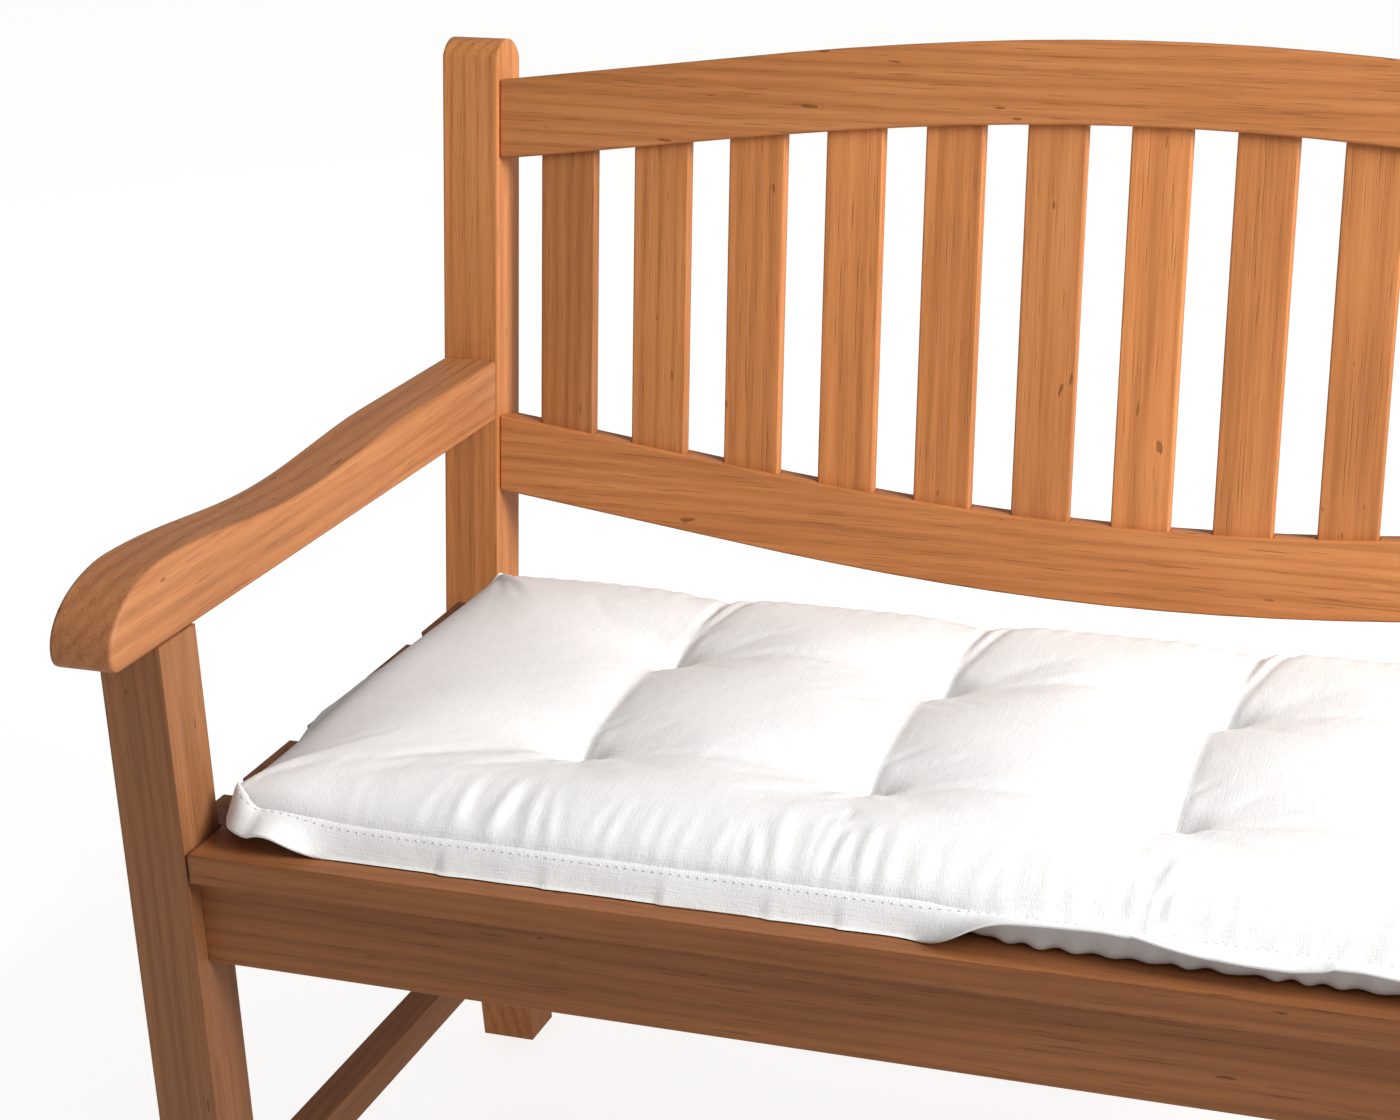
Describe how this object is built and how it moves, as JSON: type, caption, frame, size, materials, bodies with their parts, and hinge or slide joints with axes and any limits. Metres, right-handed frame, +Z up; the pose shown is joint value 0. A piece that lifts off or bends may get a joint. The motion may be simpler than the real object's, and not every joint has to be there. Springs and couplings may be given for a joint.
{
  "type": "garden bench",
  "caption": "Wooden garden bench with a raked slatted back between bowed rails, waved arms and a loose tufted seat cushion.",
  "frame": {"origin": "on the ground, in the middle of the bench's length and depth", "axes": "+X along the bench, to the viewer's right from the front; +Y from the front to the back; +Z up"},
  "size_m": [1.2, 0.6946, 0.9183],
  "materials": {
    "frame_wood": "oiled",
    "slat_wood": "oiled",
    "seat_wood": "oiled",
    "pin_wood": "oiled",
    "screw_steel": "satin",
    "cushion_fabric": "matte"
  },
  "bodies": {
    "bench": {"front_leg_left": "frame_wood", "front_leg_right": "frame_wood", "rear_leg_left": "frame_wood", "rear_leg_right": "frame_wood", "arm_left": "frame_wood", "arm_right": "frame_wood", "top_rail": "frame_wood", "lower_back_rail": "frame_wood", "back_slat_01": "slat_wood", "back_slat_02": "slat_wood", "back_slat_03": "slat_wood", "back_slat_04": "slat_wood", "back_slat_05": "slat_wood", "back_slat_06": "slat_wood", "back_slat_07": "slat_wood", "back_slat_08": "slat_wood", "back_slat_09": "slat_wood", "back_slat_10": "slat_wood", "back_slat_11": "slat_wood", "back_slat_12": "slat_wood", "back_slat_13": "slat_wood", "front_apron": "frame_wood", "rear_seat_rail": "frame_wood", "side_seat_rail_left": "frame_wood", "side_seat_rail_right": "frame_wood", "middle_seat_rail": "frame_wood", "seat_slat_1": "seat_wood", "seat_slat_2": "seat_wood", "seat_slat_3": "seat_wood", "seat_slat_4": "seat_wood", "seat_slat_5": "seat_wood", "side_stretcher_left": "frame_wood", "side_stretcher_right": "frame_wood", "arm_dowels": "pin_wood", "tenon_pins": "pin_wood", "seat_screws": "screw_steel", "seat_plugs": "pin_wood"},
    "cushion": {"cushion": "cushion_fabric"}
  },
  "joints": [
    {"name": "cushion_lift", "type": "slide", "parent": "bench", "child": "cushion", "axis": [0, 0, 1], "range_m": [0, 0.5]}
  ]
}
